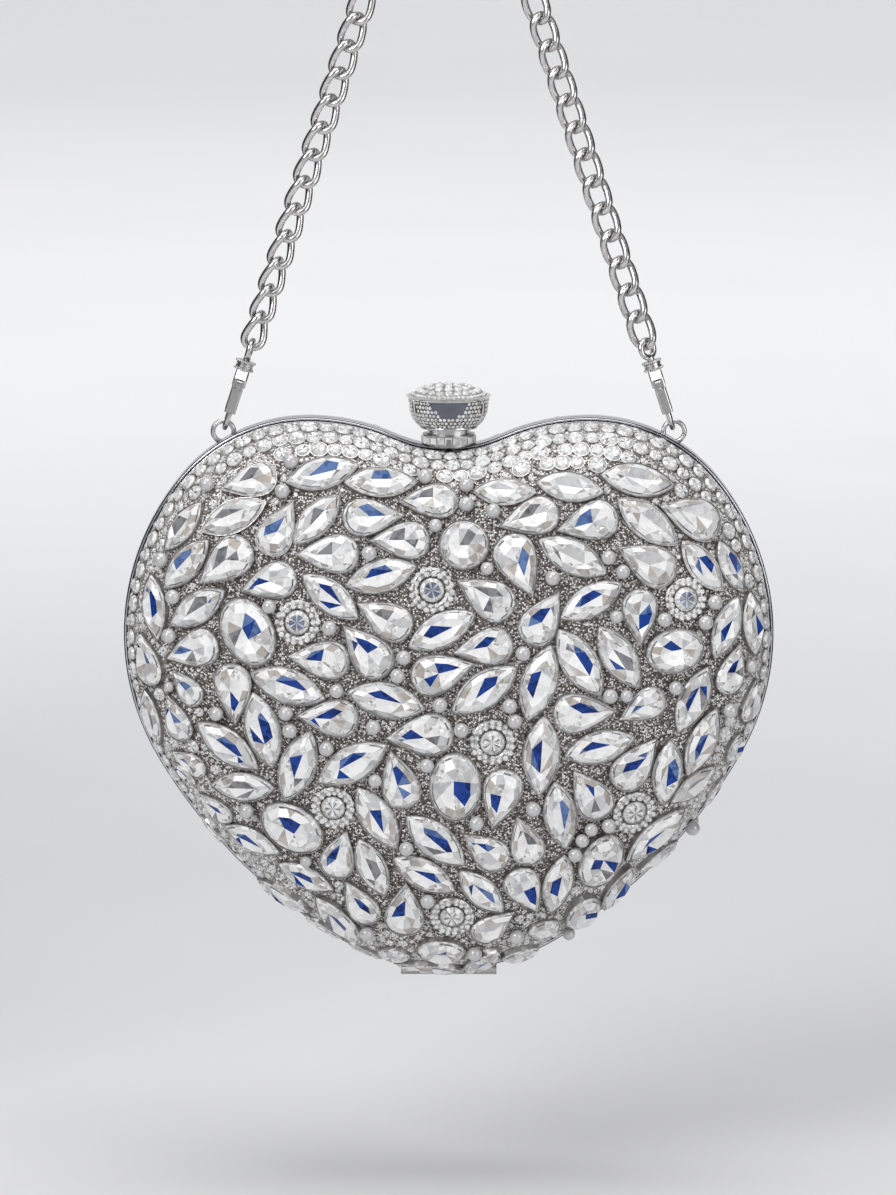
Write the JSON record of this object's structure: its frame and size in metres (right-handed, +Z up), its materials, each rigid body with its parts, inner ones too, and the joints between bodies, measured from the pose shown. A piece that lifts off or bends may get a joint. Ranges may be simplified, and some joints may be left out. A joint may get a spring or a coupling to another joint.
{
  "type": "heart shaped purse",
  "caption": "Hard heart shaped evening purse set with faceted stones and pearls, with a tip hinge, a press knob clasp and a chain strap on snap hooks.",
  "frame": {"origin": "middle of the chain strap's top link, where the purse hangs", "axes": "+Z up along the hanging purse, +X to the viewer's right across its width, +Y away from the viewer through its depth"},
  "size_m": [0.162, 0.0647, 0.2785],
  "materials": {
    "plating": "polished plating",
    "spring_steel": "satin",
    "ground": "set with fine glittering pave",
    "lining": "satin cloth on board",
    "crystal": "foiled back, faceted",
    "pearl": "satin lustre",
    "pave": "fine pave stones"
  },
  "bodies": {
    "strap": {"top_chain_link": "plating", "left_chain_links": "plating", "right_chain_links": "plating", "left_swivel_eye": "plating", "right_swivel_eye": "plating"},
    "left_hook": {"left_hook_body": "plating", "left_gate_pin": "plating", "left_gate_spring": "spring_steel"},
    "right_hook": {"right_hook_body": "plating", "right_gate_pin": "plating", "right_gate_spring": "spring_steel"},
    "left_gate": {"left_gate": "plating"},
    "right_gate": {"right_gate": "plating"},
    "case_back": {"rear_shell": "ground", "rear_lining": "lining", "rear_frame": "plating", "rear_hinge_knuckles": "plating", "hinge_pin": "plating", "left_ring_lug": "plating", "right_ring_lug": "plating", "clasp_collar": "plating", "latch_bracket": "plating", "latch_leaf": "spring_steel", "latch_rivets": "plating", "return_spring": "spring_steel", "rear_flower_halos": "pave", "rear_flower_stones": "crystal", "rear_navette_stones": "crystal", "rear_oval_stones": "crystal", "rear_pear_stones": "crystal", "rear_pearls": "pearl", "rear_rim_stones": "crystal"},
    "case_front": {"front_shell": "ground", "front_lining": "lining", "front_frame": "plating", "front_hinge_knuckle": "plating", "latch_keeper": "plating", "front_flower_halos": "pave", "front_flower_stones": "crystal", "front_navette_stones": "crystal", "front_oval_stones": "crystal", "front_pear_stones": "crystal", "front_pearls": "pearl", "front_rim_stones": "crystal"},
    "clasp_knob": {"knob_cup": "plating", "knob_cap": "plating", "knob_stem": "plating", "stem_clip": "spring_steel"}
  },
  "joints": [
    {"name": "case_swing", "type": "hinge", "parent": "strap", "child": "case_back", "pos_m": [0, 0, -0.13507], "axis": [1, 0, 0], "range_deg": [-30, 30]},
    {"name": "case_open", "type": "hinge", "parent": "case_back", "child": "case_front", "pos_m": [0, -0.00135, -0.27321], "axis": [1, 0, 0], "range_deg": [0, 75], "deforming": ["latch_leaf"]},
    {"name": "knob_press", "type": "slide", "parent": "case_back", "child": "clasp_knob", "axis": [0, 0, -1], "range_m": [0, 0.0012], "stiffness_N_per_m": 2000, "springref_m": -0.0005, "deforming": ["return_spring", "latch_leaf"]},
    {"name": "left_swivel", "type": "hinge", "parent": "strap", "child": "left_hook", "pos_m": [-0.05033, 0, -0.11978], "axis": [0.3088, 0, 0.9511], "range_deg": [-30, 30]},
    {"name": "left_gate_open", "type": "hinge", "parent": "left_hook", "child": "left_gate", "pos_m": [-0.05207, -0.003, -0.12515], "axis": [0.9511, 0, -0.3088], "range_deg": [0, 22], "stiffness_Nm_per_rad": 0.02, "springref_deg": -5.73},
    {"name": "right_swivel", "type": "hinge", "parent": "strap", "child": "right_hook", "pos_m": [0.05033, 0, -0.11978], "axis": [-0.3088, 0, 0.9511], "range_deg": [-30, 30]},
    {"name": "right_gate_open", "type": "hinge", "parent": "right_hook", "child": "right_gate", "pos_m": [0.05207, -0.003, -0.12515], "axis": [0.9511, 0, 0.3088], "range_deg": [0, 22], "stiffness_Nm_per_rad": 0.02, "springref_deg": -5.73}
  ]
}
